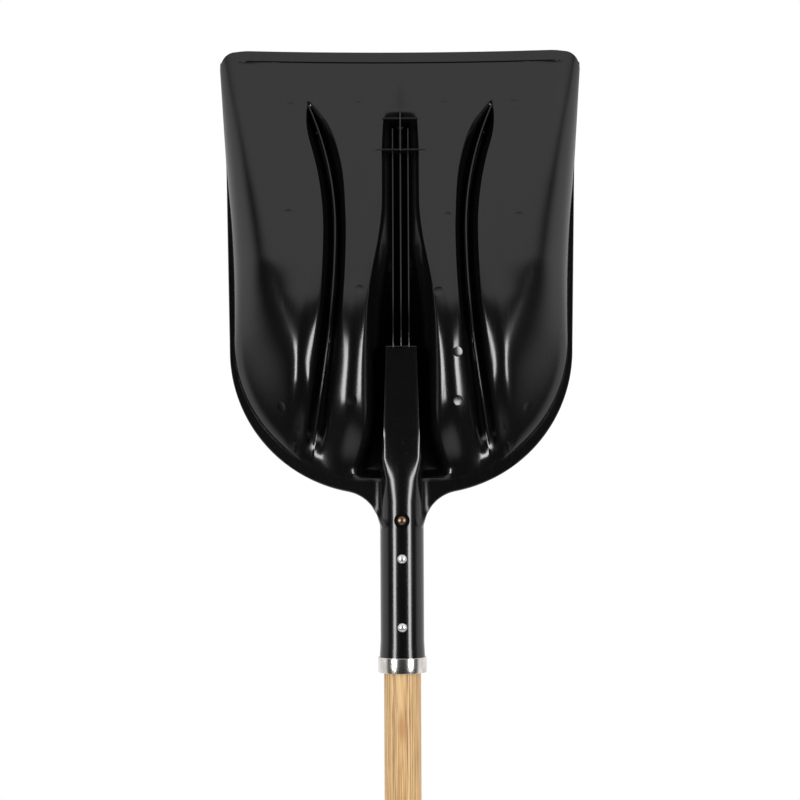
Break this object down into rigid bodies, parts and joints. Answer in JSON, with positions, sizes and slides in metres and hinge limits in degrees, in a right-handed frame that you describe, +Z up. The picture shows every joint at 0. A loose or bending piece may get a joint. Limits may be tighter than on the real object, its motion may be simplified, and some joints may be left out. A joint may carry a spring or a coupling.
{
  "type": "snow shovel",
  "caption": "Snow shovel with a deep moulded plastic blade, hollow-ribbed on its back, and a socket riveted to a straight wooden handle.",
  "frame": {"origin": "middle of the flat butt of the handle", "axes": "+Z up the handle to the blade, +Y towards the blade's load side, +X across the blade"},
  "size_m": [0.3838, 0.124, 1.6232],
  "materials": {
    "blade_plastic": "glossy black injection-moulded polypropylene",
    "handle_wood": "sanded pale ash with a clear coat",
    "ferrule_steel": "polished plated steel",
    "rivet_steel": "bright plated steel",
    "washer_steel": "zinc-plated steel",
    "screw_steel": "dark bronze-coloured plated steel"
  },
  "bodies": {
    "root": {"blade": "blade_plastic", "handle": "handle_wood", "ferrule": "ferrule_steel", "rivet_lower": "rivet_steel", "rivet_upper": "rivet_steel", "washer_lower": "washer_steel", "washer_upper": "washer_steel", "socket_screw": "screw_steel"}
  },
  "joints": []
}
